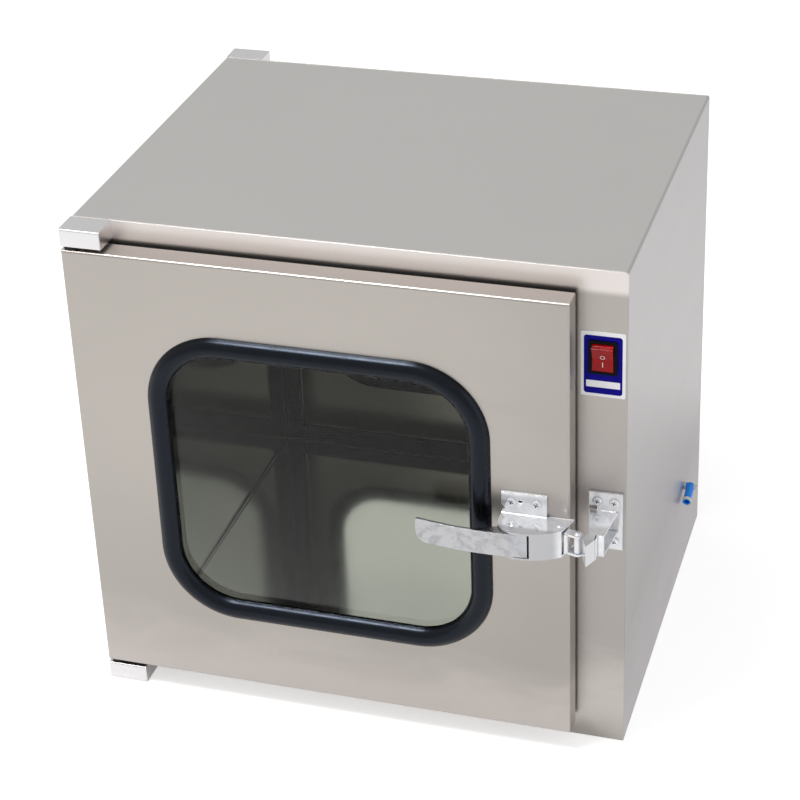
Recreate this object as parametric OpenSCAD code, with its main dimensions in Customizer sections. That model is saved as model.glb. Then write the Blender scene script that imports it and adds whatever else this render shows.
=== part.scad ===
// Cleanroom pass box: a stainless cabinet around a square chamber that is open at both ends,
// with a gasketed window door, pivot hinges and a lever latch on each end, a lamp and a switch.
// X runs left to right seen from the front, the front door faces -Y and +Z is up.
// The origin is the centre of the base, on the surface that the box stands on.
// The rear door and its latch are the mirror image of the front ones about Y = 0.

/* [Cabinet] */
// Width of the cabinet
cab_w = 520; // [468:1:600]
// Depth of the cabinet between its front and rear faces
cab_d = 401.5; // [360:0.5:600]
// Height of the cabinet
cab_h = 502; // [450:1:600]
// Thickness of the stainless sheet
sheet = 1.5; // [1:0.1:1.8]
// Outside bend radius of the casing's long top edges
bend_r = 2.5; // [2:0.1:4]
// Depth of the flanges that the frames turn into the casing
flange_d = 15; // [10:1:25]

/* [Chamber] */
// Width of the service bay between the chamber and the cabinet's right side
service_w = 80; // [76:1:110]
// Height of the space between the chamber's ceiling and the cabinet's top
top_bay_h = 70; // [40:1:100]
// Distance from the cabinet's left side to the chamber
chamber_left = 40; // [36:1:46]
// Height of the chamber floor above the base
chamber_floor = 32; // [32:1:40]
// Radius of the coves along the chamber's four long corners
cove_r = 4; // [3:0.5:10]

/* [Hinges] */
// Width of a hinge bracket
bracket_w = 40; // [32:1:60]
// Height of a hinge bracket
bracket_h = 18; // [14:1:22]
// Wall thickness of a hinge bracket
bracket_wall = 2.5; // [2:0.1:3]
// Edge radius of a hinge bracket
bracket_edge_r = 1.6; // [1:0.1:2.4]
// Distance of the hinge axis from the cabinet's left side
hinge_in = 8; // [7.8:0.1:9]
// Distance of the hinge axis in front of the cabinet's face
hinge_out = 20; // [19:0.1:20.5]
// Radius of a hinge pin
hinge_pin_r = 4; // [3:0.1:4.2]
// Wall of a hinge bush
bush_wall = 1.9; // [1.2:0.1:2]
// Radius of the bush flange that carries the door
bush_flange_r = 6.8; // [6.4:0.1:7.6]
// Thickness of the plates that stiffen the door at its bushes
hinge_plate_t = 4; // [3:0.5:6]
// Width of the plates that stiffen the door at its bushes
hinge_plate_w = 40; // [24:1:60]

/* [Door] */
// Cabinet face left bare to the right of the door
strip_w = 45.5; // [45:0.5:50]
// Gap between the door and a hinge bracket
door_gap = 3.3; // [1.5:0.1:4]
// Depth of the folded door shell
door_d = 22.5; // [22:0.5:25]
// Gap between the door shell and the cabinet's face, which the gasket fills
seal_gap = 5.5; // [3:0.1:6]
// Reach of the door's inner frame and gasket over the chamber's edges
cover = 19; // [10:0.5:24]
// Depth of the hem around the inner frame's opening
hem_d = 6; // [4:0.5:9]
// Edge radius of the door's front bends
door_edge_r = 2.2; // [1.9:0.1:3]
// Inset of the gasket from the door's edge on the hinge side
gasket_hinge_inset = 8.6; // [8.6:0.1:12]
// Inset of the gasket from the door's other edges
gasket_inset = 2.6; // [2:0.1:3]
// Corner radius of the gasket's outer edge
gasket_corner_r = 14; // [10:0.5:20]

/* [Window] */
// Width of door left bare to each side of the window seal
window_side = 72.5; // [70:0.5:90]
// Height of door left bare above and below the window seal, before the rise
window_edge = 75; // [50:0.1:90]
// Height of the window's centre above the door's centre
window_rise = 1.7; // [0:0.1:10]
// Outer corner radius of the window seal
window_r = 75; // [60:1:90]
// Width of the window seal
seal_w = 21; // [19:0.5:24]
// Height of the seal's outer bulge above the door
seal_proud = 8.5; // [6:0.1:10]
// Height of the seal's inner bulge behind the sheet
seal_back = 7.5; // [6:0.1:9]
// Depth of the sheet's slot in the seal
sheet_slot_d = 8; // [6:0.1:8.5]
// Thickness of the wall between the seal's two slots
seal_web = 3.6; // [3:0.1:4]
// Thickness of the window glass
glass_t = 5; // [4:0.1:5.4]

/* [Latch] */
// Distance of the latch's centre below the door's centre
latch_drop = 1.75; // [-20:0.25:20]
// Thickness of the latch's base plate
latch_plate_t = 3; // [2:0.1:3.4]
// Width of the latch's base plate
latch_plate_w = 42; // [38:0.5:44]
// Distance from the door's free edge to the base plate
latch_plate_gap = 20.5; // [19:0.5:24]
// Reach of the base plate above the latch's centre
latch_plate_up = 36; // [34:0.5:44]
// Reach of the base plate below the latch's centre
latch_plate_down = 32; // [31.5:0.5:40]
// Spacing of the latch screws across the door
latch_screw_x = 23.3; // [20:0.1:26]
// Height of the upper and lower latch screws from the centre
latch_screw_z = 26.4; // [25:0.1:28]
// Height of the housing over its two webs
housing_h = 28; // [27:0.1:32]
// Thickness of the housing's webs and front wall
housing_t = 1.8; // [1.4:0.1:2]
// Distance that the housing stands out from the door
housing_out = 34.2; // [34:0.1:38]
// Radius of the housing's rounded corner
housing_corner_r = 19; // [17:0.5:22]
// Radius of the housing's bowed front
housing_bow_r = 63; // [60:1:80]
// Height of the lever
lever_h = 24; // [20:0.1:24]
// Thickness of the lever's face
lever_t = 2.6; // [2:0.1:3.2]
// Radius of the lever's bowed face
lever_bow_r = 328; // [280:1:420]
// Length of the lever from the housing's front wall to its tip
lever_reach = 107; // [90:1:125]
// Rounding of the lever's lower tip corner
lever_tip_r = 11; // [6:0.5:11.5]
// Offset of the link's pins from the pivots of the lever and the tongue
crank = 8; // [6:0.1:8.2]
// Radius of the pivot pins of the latch
pivot_r = 2.2; // [1.8:0.1:2.4]
// Radius of the link's pins
link_pin_r = 1.8; // [1.4:0.1:1.9]
// Thickness of the link
link_t = 3; // [2:0.1:5]
// Thickness of a tongue plate
tongue_t = 2; // [1.5:0.1:2.6]
// Height over the two tongue plates
tongue_h = 21.2; // [18:0.1:22]
// Radius of the tongue's rounded tip
tongue_tip_r = 4.6; // [4:0.1:4.8]
// Radius of the roller
roller_r = 3.4; // [2.8:0.1:4]
// Radius of the roller's pin
roller_pin_r = 1.5; // [1.2:0.1:1.8]

/* [Strike] */
// Width of the strike's base plate
strike_plate_w = 31; // [28:0.5:33]
// Height of the strike's base plate
strike_plate_h = 59; // [54:0.5:70]
// Thickness of the strike's base plate
strike_plate_t = 3; // [2:0.1:4]
// Height of the strike's channel
strike_h = 22; // [19:0.1:24]
// Thickness of the strike's sheet
strike_t = 2; // [1.6:0.1:2.4]
// Distance that the channel stands out from the cabinet's face
strike_out = 43.5; // [42:0.1:44]
// Reach of the nose in front of the channel
nose_out = 20; // [16:0.1:22]
// Spacing of the strike screws across the strip
strike_screw_x = 15.6; // [13:0.1:17]
// Spacing of the strike screws up the strip
strike_screw_z = 41.4; // [38:0.1:46]

/* [Switch] */
// Width of the switch's label plate
label_w = 40; // [36:0.5:42]
// Height of the switch's label plate
label_h = 64.5; // [58:0.5:75]
// Distance of the label plate's centre below the cabinet's top
label_drop = 92.2; // [50:0.1:130]
// Thickness of the label plate
label_t = 0.8; // [0.5:0.1:1.5]
// Width of the switch bezel
bezel_w = 25.9; // [25:0.1:28]
// Height of the switch bezel
bezel_h = 33; // [32.4:0.1:38]
// Height of the bezel's centre above the label plate's centre
bezel_rise = 7.6; // [0:0.1:10]
// Width of the rocker
rocker_w = 18.8; // [16:0.1:19.4]
// Radius of the rocker's swept ends about its pivot
rocker_r = 13.5; // [12:0.1:13.7]
// Angle between a half of the rocker's face and the panel
rocker_tilt = 9; // [6:0.5:10]

/* [Lamp] */
// Length of the lamp tube between its caps
lamp_l = 260; // [200:1:300]
// Radius of the lamp tube
lamp_r = 8; // [7:0.5:10]
// Distance of the lamp's axis below the chamber's ceiling
lamp_drop = 24; // [20:0.5:40]
// Width of the lamp's reflector
reflector_w = 46; // [40:1:60]

/* [Fittings] */
// Radius of the side port's blue elbow leg
port_r = 4.2; // [4:0.1:5]
// Length of the side port's leg
port_l = 23.5; // [18:0.5:32]
// Height of the side port's bolt above the base
port_z = 95; // [60:1:180]
// Distance of the side port's bolt behind the middle of the side
port_y = 110; // [40:1:130]
// Angle of the port's leg below level, pointing to the front
port_angle = 12; // [0:1:60]
// Height of the cable gland above the base
gland_z = 62; // [50:1:110]

/* [Hidden] */
$fn = 96;

// Clearances: a fixed pin in its hole, a turning pin in its bore, two parts that slide apart.
fix_gap = 0.02;
run_gap = 0.05;
slide_gap = 0.3;
eps = 0.01;
over = 1;

// Cabinet and chamber, from the middle of the base.
left_x = -cab_w / 2;
right_x = cab_w / 2;
face_y = -cab_d / 2;
chamber_x0 = left_x + chamber_left;
chamber_x1 = right_x - service_w;
chamber_w = chamber_x1 - chamber_x0;
chamber_mid_x = (chamber_x0 + chamber_x1) / 2;
ceiling_z = cab_h - top_bay_h;
chamber_h = ceiling_z - chamber_floor;
inner_bend_r = bend_r - sheet;

// Door shell.
door_w = cab_w - strip_w;
door_z0 = bracket_h + door_gap;
door_z1 = cab_h - bracket_h - door_gap;
door_h = door_z1 - door_z0;
door_mid_x = left_x + door_w / 2;
door_right_x = left_x + door_w;
door_back_y = face_y - seal_gap;
door_front_y = door_back_y - door_d;
bracket_d = seal_gap + door_d;
pivot_x = left_x + hinge_in;
pivot_y = face_y - hinge_out;
bush_r = hinge_pin_r + run_gap + bush_wall;
opening_x0 = chamber_x0 + cover;
opening_x1 = chamber_x1 - cover;
opening_z0 = chamber_floor + cover;
opening_z1 = ceiling_z - cover;

// Window.
window_z = (door_z0 + door_z1) / 2 + window_rise;
window_w = door_w - 2 * window_side;
window_h = door_h - 2 * window_edge;
glass_inset = sheet_slot_d + seal_web;

// Latch, from the door's free edge, the door's outer face and the latch's centre height.
latch_z = (door_z0 + door_z1) / 2 - latch_drop;
plate_x1 = -latch_plate_gap;
plate_x0 = plate_x1 - latch_plate_w;
housing_in_h = housing_h - 2 * housing_t;
bow_x = plate_x0 + 21;
bow_y = housing_bow_r - housing_out;
housing_end_x = -2.8;
housing_foot_x = 4;
lever_gap = 2;
wall_x0 = -29.8;
lever_pivot = [-48, -20];
tongue_pivot = [-6, -13];
roller_axis = [11, -17.5];
spacer_axis = [0.6, -18.3];
link_pin_at = lever_pivot + [0, crank];
tongue_pin_at = tongue_pivot + [0, crank];
lever_face_x = -71.5;
lever_end_x = wall_x0 - lever_gap;
lever_face_out = 35;
lever_flange_t = 2.2;
lever_flange_x0 = -78;
lever_boss_r = 6.4;
lug_r = 4.2;
link_r = 3.2;
spacer_r = 2.4;

// Strike, from the cabinet's left side, the cabinet's face and the latch's centre height.
strike_gap = 12;
strike_x0 = door_right_x + strike_gap;
strike_mid_x = strike_x0 + strike_plate_w / 2;
strike_mouth = 8;
strike_back_x = 0.6;
strike_front_x1 = 22.3;
strike_back_x1 = 27;
strike_web_x1 = strike_back_x1 - strike_plate_t / 2;
strike_notch_w = 7.4;
strike_notch_h = 4.6;
strike_slit_x = 15.2;
strike_slit_w = 0.9;
strike_slit_d = 7.5;

// Screws with a cross recess, and the inside bend radius of pressed plates.
web_bend_r = 1.6;
screw_r = 2.4;
screw_head_r = 4.4;
screw_head_h = 2;
cross_l = 4.4;
cross_w = 1;
cross_d = 1.2;
backing_t = 3;
screw_end = 1.5;

// Switch.
label_z = cab_h - label_drop;
strip_mid_x = (door_right_x + right_x) / 2 + 1;
bezel_z = label_z + bezel_rise;
bezel_t = 1.7;
switch_wall = 1.6;
rocker_side_gap = 0.3;
pocket_w = rocker_w + 2 * rocker_side_gap;
pocket_h = 2 * (rocker_r + rocker_side_gap);
switch_body_w = pocket_w + 2 * switch_wall;
switch_body_h = pocket_h + 2 * switch_wall;
switch_body_d = 19;
rocker_pivot_in = 1;
rocker_face = 4.5;
rocker_back = 4;
trunnion_r = 1.5;
trunnion_l = 1.1;
cutout_gap = 0.2;
tab_w = 4.8;
tab_t = 0.8;
tab_l = 8;
tab_pitch = 8;

// Lamp and its gear.
lamp_z = ceiling_z - lamp_drop;
lamp_cap_l = 12;
lamp_pin_l = 5;
lamp_pin_r = 1.1;
lamp_pin_pitch = 4.8;
holder_l = 14;
holder_w = 22;
holder_side = 10;
reflector_rise = 8;
reflector_t = 1.2;
reflector_end = 22;
ballast_l = 130;
ballast_w = 40;
ballast_h = 28;
gear_y = 60;
liner_top_z = ceiling_z + sheet;

// Side port and cable gland.
port_stand = 6.6;
port_bolt_r = 2.9;
port_bolt_bore_r = 1.6;
port_cross_r = 1.2;
port_bolt_out = 3;
port_hex_r = 4.7;
port_hex_t = 1.8;
port_eye_r = 4.6;
port_bore_r = 2.6;
port_collar_r = 5.1;
port_collar_l = 3.2;
gland_x = strip_mid_x;
gland_r = 6;
gland_bore_r = 3.2;
gland_hex_r = 9.6;
gland_hex_t = 5;
gland_cap_r = 7.6;
gland_cap_l = 11;
gland_nut_t = 4.5;
steel = "#b9b2a9";
zinc = "#c9cccf";
rubber = "#1c1c20";

// ---------- shared shapes ----------

// A rectangle with four true round corners, centred.
module round_rect(w, h, r) {
    square([w - 2 * r, h], center = true);
    square([w, h - 2 * r], center = true);
    for (sx = [-1, 1], sy = [-1, 1])
        translate([sx * (w / 2 - r), sy * (h / 2 - r)])
            circle(r);
}

// A w by h rectangle from the origin whose two corners on the side y = 0 are round.
module front_rounded(w, h, r) {
    translate([0, r])
        square([w, h - r]);
    translate([r, 0])
        square([w - 2 * r, h]);
    for (x = [r, w - r])
        translate([x, r])
            circle(r);
}

// A box from the origin whose edges around the side y = 0 are round.
module front_rounded_box(size, r) {
    intersection() {
        linear_extrude(size.z)
            front_rounded(size.x, size.y, r);
        multmatrix([[0, 0, 1, 0], [0, 1, 0, 0], [1, 0, 0, 0], [0, 0, 0, 1]])
            linear_extrude(size.x)
                front_rounded(size.z, size.y, r);
    }
}

// Draws its children at the front or, mirrored, at the rear.
module at_end(rear) {
    mirror([0, rear ? 1 : 0, 0])
        children();
}

// Stands a flat drawing up: its x stays, its y becomes z, and it is t thick towards +Y from y.
module standing(y, t) {
    translate([0, y + t, 0])
        rotate([90, 0, 0])
            linear_extrude(t)
                children();
}

// A pan-head screw along +Y with its head's seat at the origin.
module cross_screw(shank) {
    rotate([-90, 0, 0]) {
        translate([0, 0, -eps])
            cylinder(r = screw_r, h = shank + eps);
        difference() {
            union() {
                translate([0, 0, -screw_head_h / 2])
                    cylinder(r = screw_head_r, h = screw_head_h / 2);
                translate([0, 0, -screw_head_h])
                    cylinder(r1 = screw_head_r - 1, r2 = screw_head_r, h = screw_head_h / 2);
            }
            for (a = [20, 110])
                rotate([0, 0, a])
                    translate([-cross_l / 2, -cross_w / 2, -screw_head_h - over])
                        cube([cross_l, cross_w, cross_d + over]);
        }
    }
}

// The inside bends where two webs at z = +h / 2 and -h / 2 leave a plate's front at y = -t.
module web_bends(x0, x1, t, h) {
    r = web_bend_r;
    for (m = [0, 1])
        mirror([0, 0, m])
            translate([x0, -t, h / 2])
                difference() {
                    translate([0, -r, -eps])
                        cube([x1 - x0, r + eps, r + eps]);
                    translate([-over, -r, r])
                        rotate([0, 90, 0])
                            cylinder(r = r, h = x1 - x0 + 2 * over);
                }
}

// Draws its children at the four corners of a w by h rectangle in the X-Z plane.
module four(w, h) {
    for (sx = [-1, 1], sz = [-1, 1])
        translate([sx * w / 2, 0, sz * h / 2])
            children();
}

// A hole along Y through everything near its seat.
module y_hole(r, l) {
    rotate([90, 0, 0])
        cylinder(r = r, h = l, center = true);
}

// ---------- cabinet ----------

// The cabinet's outline seen from the front, shrunk by inset, with round top corners.
module case_outline(inset) {
    r = bend_r - inset;
    x = right_x - inset;
    translate([-x, 0])
        square([2 * x, cab_h - inset - r]);
    translate([-x + r, 0])
        square([2 * (x - r), cab_h - inset]);
    for (s = [-1, 1])
        translate([s * (x - r), cab_h - inset - r])
            circle(r);
}

// Top and sides in one folded sheet, with the hole for the side port's bolt.
module outer_casing() {
    color(steel)
        difference() {
            standing(face_y + sheet, cab_d - 2 * sheet)
                difference() {
                    case_outline(0);
                    translate([0, -over])
                        case_outline(sheet);
                    translate([left_x + sheet, -over])
                        square([cab_w - 2 * sheet, cab_h / 2]);
                }
            port_frame()
                rotate([0, 90, 0])
                    cylinder(r = port_bolt_r + fix_gap, h = 4 * sheet, center = true);
        }
}

// The square chamber opening seen from the front, grown by g.
module chamber_outline(g) {
    translate([chamber_mid_x, (chamber_floor + ceiling_z) / 2])
        round_rect(chamber_w + 2 * g, chamber_h + 2 * g, max(cove_r, cove_r + g));
}

// A face frame with its chamber opening and the flange that carries the casing.
module frame_sheet() {
    standing(face_y, sheet)
        difference() {
            case_outline(0);
            chamber_outline(0);
        }
    standing(face_y + sheet - eps, flange_d + eps)
        difference() {
            translate([left_x + sheet, sheet])
                square([cab_w - 2 * sheet, cab_h - bend_r - sheet]);
            translate([left_x + 2 * sheet, 2 * sheet])
                square([cab_w - 4 * sheet, cab_h]);
        }
}

module strike_holes(r) {
    translate([strike_mid_x, face_y, latch_z])
        four(strike_screw_x, strike_screw_z)
            y_hole(r, 4 * flange_d);
}

module front_frame() {
    color(steel)
        difference() {
            frame_sheet();
            strike_holes(screw_r + fix_gap);
            translate([strip_mid_x, face_y, bezel_z])
                cube([switch_body_w + 2 * cutout_gap, 4 * sheet,
                      switch_body_h + 2 * cutout_gap], center = true);
        }
}

module rear_frame() {
    color(steel)
        difference() {
            at_end(true)
                frame_sheet();
            at_end(true)
                strike_holes(screw_r + fix_gap);
            translate([gland_x, -face_y, gland_z])
                y_hole(gland_r + fix_gap, 4 * sheet);
        }
}

module base_panel() {
    run = cab_d - 2 * (sheet + flange_d);
    color(steel) {
        translate([left_x + sheet, face_y + sheet, 0])
            cube([cab_w - 2 * sheet, cab_d - 2 * sheet, sheet]);
        for (s = [-1, 1])
            translate([s * (right_x - 1.5 * sheet) - sheet / 2, -run / 2, sheet - eps])
                cube([sheet, run, flange_d]);
    }
}

module chamber_liner() {
    color(steel)
        standing(face_y + sheet, cab_d - 2 * sheet)
            difference() {
                chamber_outline(sheet);
                chamber_outline(0);
            }
}

// ---------- hinges ----------

// A hollow block at the cabinet's lower left front corner, bored for its pin.
module hinge_bracket() {
    difference() {
        translate([left_x, face_y - bracket_d, 0])
            front_rounded_box([bracket_w, bracket_d, bracket_h], bracket_edge_r);
        translate([left_x + bracket_wall, face_y - bracket_d + bracket_wall, bracket_wall])
            cube([bracket_w - 2 * bracket_wall, bracket_d - bracket_wall - sheet,
                  bracket_h - 2 * bracket_wall]);
        translate([pivot_x, pivot_y, bracket_wall])
            cylinder(r = hinge_pin_r + fix_gap, h = bracket_h);
    }
}

// Turns a lower hinge piece over to the top of the cabinet.
module at_top(top) {
    translate([0, 0, top ? cab_h : 0])
        mirror([0, 0, top ? 1 : 0])
            children();
}

module bracket_at(rear, top) {
    color(steel)
        at_end(rear)
            at_top(top)
                hinge_bracket();
}

module front_top_hinge_bracket() {
    bracket_at(false, true);
}

module front_bottom_hinge_bracket() {
    bracket_at(false, false);
}

module rear_top_hinge_bracket() {
    bracket_at(true, true);
}

module rear_bottom_hinge_bracket() {
    bracket_at(true, false);
}

pin_reach = door_z0 + sheet + hinge_plate_t + 2;

module hinge_pins() {
    color(zinc)
        for (rear = [false, true], top = [false, true])
            at_end(rear)
                at_top(top)
                    translate([pivot_x, pivot_y, bracket_wall])
                        cylinder(r = hinge_pin_r, h = pin_reach - bracket_wall);
}

module hinge_bushes(rear) {
    color("#2a2a2c")
        for (top = [false, true])
            at_end(rear)
                at_top(top)
                    translate([pivot_x, pivot_y, 0])
                        difference() {
                            union() {
                                translate([0, 0, bracket_h + slide_gap])
                                    cylinder(r = bush_flange_r, h = door_gap - slide_gap);
                                translate([0, 0, bracket_h + slide_gap])
                                    cylinder(r = bush_r,
                                             h = door_gap - slide_gap + sheet + hinge_plate_t);
                            }
                            cylinder(r = hinge_pin_r + run_gap, h = cab_h / 4);
                        }
}

module front_hinge_bushes() {
    hinge_bushes(false);
}

module rear_hinge_bushes() {
    hinge_bushes(true);
}

// ---------- doors ----------

module window_outline(inset) {
    translate([door_mid_x, window_z])
        round_rect(window_w - 2 * inset, window_h - 2 * inset, window_r - inset);
}

// The folded door shell: the front skin and its four returns.
module door_skin(rear) {
    color(steel)
        at_end(rear)
            difference() {
                translate([left_x, door_front_y, door_z0])
                    front_rounded_box([door_w, door_d, door_h], door_edge_r);
                translate([left_x + sheet, door_front_y + sheet, door_z0 + sheet])
                    cube([door_w - 2 * sheet, door_d, door_h - 2 * sheet]);
                standing(door_front_y - over, sheet + 2 * over)
                    window_outline(sheet_slot_d);
                translate([pivot_x, pivot_y, door_z0 - over])
                    cylinder(r = bush_r + fix_gap, h = door_h + 2 * over);
                latch_holes(screw_r + fix_gap);
            }
}

module front_door_skin() {
    door_skin(false);
}

module rear_door_skin() {
    door_skin(true);
}

// The door's rear opening, grown by g.
module opening_outline(g) {
    translate([opening_x0 - g, opening_z0 - g])
        square([opening_x1 - opening_x0 + 2 * g, opening_z1 - opening_z0 + 2 * g]);
}

// Four folded strips that close the back of the shell, each with a hem along the opening.
module door_inner_frame(rear) {
    color(steel)
        at_end(rear) {
            standing(door_back_y - sheet, sheet)
                in_four_strips(fix_gap)
                    difference() {
                        translate([left_x + sheet, door_z0 + sheet])
                            square([door_w - 2 * sheet, door_h - 2 * sheet]);
                        opening_outline(0);
                    }
            standing(door_back_y - hem_d, hem_d - sheet + eps)
                in_four_strips(fix_gap)
                    difference() {
                        opening_outline(sheet);
                        opening_outline(0);
                    }
        }
}

module front_door_inner_frame() {
    door_inner_frame(false);
}

module rear_door_inner_frame() {
    door_inner_frame(true);
}

module latch_frame() {
    translate([door_right_x, door_front_y, latch_z])
        children();
}

module latch_holes(r) {
    latch_frame()
        translate([(plate_x0 + plate_x1) / 2, 0, 0])
            four(latch_screw_x, 2 * latch_screw_z)
                y_hole(r, 2 * (backing_t + latch_plate_t + over));
}

// Two plates behind the bushes and the tapped plate behind the latch.
module door_stiffeners(rear) {
    color(zinc)
        at_end(rear) {
            for (top = [false, true])
                at_top(top)
                    difference() {
                        translate([left_x + sheet, door_front_y + sheet, door_z0 + sheet])
                            cube([hinge_plate_w, door_d - 2 * sheet, hinge_plate_t]);
                        translate([pivot_x, pivot_y, 0])
                            cylinder(r = bush_r + fix_gap, h = cab_h / 4);
                    }
            difference() {
                latch_frame()
                    translate([plate_x0, sheet, -latch_plate_down])
                        cube([latch_plate_w, backing_t, 2 * latch_plate_down]);
                latch_holes(screw_r + fix_gap);
            }
        }
}

module front_door_stiffeners() {
    door_stiffeners(false);
}

module rear_door_stiffeners() {
    door_stiffeners(true);
}

// Four strips around the door's opening: two of full height and two that butt between them.
module in_four_strips(seam) {
    for (side = [0, 1])
        intersection() {
            children();
            translate([side == 0 ? left_x : opening_x1, 0])
                square([side == 0 ? opening_x0 - left_x : cab_w, cab_h]);
        }
    for (side = [0, 1])
        intersection() {
            children();
            translate([opening_x0 + seam, side == 0 ? 0 : (door_z0 + door_z1) / 2])
                square([opening_x1 - opening_x0 - 2 * seam, cab_h / 2]);
        }
}

// A flat sponge gasket on the inner frame, from near the door's edges to the frame's opening.
module door_gasket(rear) {
    x0 = left_x + gasket_hinge_inset;
    x1 = door_right_x - gasket_inset;
    z0 = door_z0 + gasket_inset;
    z1 = door_z1 - gasket_inset;
    color(rubber)
        at_end(rear)
            standing(door_back_y, seal_gap - slide_gap)
                in_four_strips(slide_gap)
                    difference() {
                        translate([(x0 + x1) / 2, (z0 + z1) / 2])
                            round_rect(x1 - x0, z1 - z0, gasket_corner_r);
                        opening_outline(0);
                    }
}

module front_door_gasket() {
    door_gasket(false);
}

module rear_door_gasket() {
    door_gasket(true);
}

// The seal's section: x runs in from its outer edge, y runs out of the door from its skin's face.
module seal_section() {
    front_r = (pow(seal_w / 2, 2) + pow(seal_proud, 2)) / (2 * seal_proud);
    back_r = (pow(seal_w / 2, 2) + pow(seal_back, 2)) / (2 * seal_back);
    difference() {
        union() {
            intersection() {
                translate([seal_w / 2, seal_proud - front_r])
                    circle(front_r);
                square([seal_w, 2 * seal_w]);
            }
            translate([0, -sheet])
                square([seal_w, sheet + eps]);
            intersection() {
                translate([seal_w / 2, back_r - seal_back - sheet])
                    circle(back_r);
                translate([0, -2 * seal_w - sheet + eps])
                    square([seal_w, 2 * seal_w]);
            }
        }
        translate([-over, -sheet - fix_gap])
            square([sheet_slot_d + fix_gap + over, sheet + 2 * fix_gap]);
        translate([glass_inset - fix_gap, -glass_t - fix_gap])
            square([seal_w, glass_t + 2 * fix_gap]);
    }
}

// The seal's section swept around the window: four straight runs and four corners.
module seal_ring() {
    half_x = window_w / 2 - window_r;
    half_z = window_h / 2 - window_r;
    for (i = [0:3]) {
        along = i % 2 == 0 ? half_x : half_z;
        across = i % 2 == 0 ? half_z : half_x;
        rotate([0, 0, 90 * i]) {
            translate([along, across + window_r, 0])
                rotate([90, 0, -90])
                    linear_extrude(2 * along)
                        seal_section();
            translate([along, across, 0])
                rotate_extrude(angle = 90)
                    translate([window_r, 0])
                        mirror([1, 0])
                            seal_section();
        }
    }
}

module window_seal(rear) {
    color(rubber)
        at_end(rear)
            translate([door_mid_x, door_front_y, window_z])
                rotate([90, 0, 0])
                    seal_ring();
}

module front_window_seal() {
    window_seal(false);
}

module rear_window_seal() {
    window_seal(true);
}

module window_glass(rear) {
    color("lightblue", 0.4)
        at_end(rear)
            standing(door_front_y, glass_t)
                window_outline(glass_inset);
}

module front_window_glass() {
    window_glass(false);
}

module rear_window_glass() {
    window_glass(true);
}

// ---------- latch ----------

// Plan of the housing's webs: a round corner, a bowed front and a slanted open end.
module housing_plan() {
    r = housing_corner_r;
    difference() {
        translate([plate_x0, -housing_out])
            square([housing_foot_x - plate_x0, housing_out]);
        // the round corner at the left
        difference() {
            translate([plate_x0 - over, -housing_out - over])
                square([r + over, r + over]);
            translate([plate_x0 + r, -housing_out + r])
                circle(r);
        }
        // the bowed front
        difference() {
            translate([bow_x, -housing_out - over])
                square([housing_foot_x - bow_x + over, housing_out]);
            translate([bow_x, bow_y])
                circle(housing_bow_r);
        }
        // the slanted end
        polygon([[housing_foot_x, 0], [housing_foot_x + over, 0],
                 [housing_foot_x + over, -housing_out - over],
                 [housing_end_x, -housing_out - over], [housing_end_x, -20.8]]);
    }
}

// The front wall between the lever's end and the slanted end.
module housing_wall_plan() {
    difference() {
        intersection() {
            housing_plan();
            translate([wall_x0, -housing_out - over])
                square([housing_end_x - wall_x0, housing_out]);
        }
        translate([bow_x, bow_y])
            circle(housing_bow_r - housing_t);
    }
}

module latch_housing(rear) {
    relief = 5;
    color(zinc)
        at_end(rear)
            latch_frame()
                difference() {
                    union() {
                        translate([plate_x0, -latch_plate_t, -latch_plate_down])
                            cube([latch_plate_w, latch_plate_t, latch_plate_up + latch_plate_down]);
                        web_bends(plate_x0, plate_x1, latch_plate_t, housing_h);
                        for (s = [-1, 1])
                            translate([0, 0, s * (housing_h - housing_t) / 2 - housing_t / 2])
                                linear_extrude(housing_t)
                                    housing_plan();
                        translate([0, 0, -housing_h / 2])
                            linear_extrude(housing_h)
                                housing_wall_plan();
                    }
                    translate([(plate_x0 + plate_x1) / 2, 0, 0])
                        four(latch_screw_x, 2 * latch_screw_z)
                            y_hole(screw_r + fix_gap, 4 * latch_plate_t);
                    // bend relief at the left of the upper flange and a spare slot between the screws
                    translate([plate_x0, 0, housing_h / 2 + relief])
                        rotate([0, 45, 0])
                            cube([relief, 4 * latch_plate_t, relief], center = true);
                    for (dx = [-0.8, 0.8])
                        translate([plate_x0 + latch_plate_w * 0.42 + dx, 0, latch_screw_z + 1])
                            y_hole(1.1, 4 * latch_plate_t);
                    for (p = [lever_pivot, tongue_pivot])
                        translate([p.x, p.y, 0])
                            cylinder(r = pivot_r + fix_gap, h = 2 * housing_h, center = true);
                }
}

module front_latch_housing() {
    latch_housing(false);
}

module rear_latch_housing() {
    latch_housing(true);
}

module latch_screws(rear) {
    color(zinc)
        at_end(rear)
            latch_frame()
                translate([(plate_x0 + plate_x1) / 2, -latch_plate_t, 0])
                    four(latch_screw_x, 2 * latch_screw_z)
                        cross_screw(latch_plate_t + sheet + backing_t + screw_end);
}

module front_latch_screws() {
    latch_screws(false);
}

module rear_latch_screws() {
    latch_screws(true);
}

// A pin through both webs with a low round head above and below.
module riveted_pin(r, length, head_r, head_h) {
    ball_r = (head_r * head_r + head_h * head_h) / (2 * head_h);
    cylinder(r = r, h = length, center = true);
    for (s = [0, 1])
        mirror([0, 0, s])
            translate([0, 0, length / 2])
                intersection() {
                    translate([0, 0, head_h - ball_r])
                        sphere(ball_r);
                    cylinder(r = head_r, h = head_h);
                }
}

module latch_pins(rear) {
    color(zinc)
        at_end(rear)
            latch_frame()
                for (p = [lever_pivot, tongue_pivot])
                    translate([p.x, p.y, 0])
                        riveted_pin(pivot_r, housing_h, 1.7 * pivot_r, 1.2);
}

module front_latch_pins() {
    latch_pins(false);
}

module rear_latch_pins() {
    latch_pins(true);
}

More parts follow.
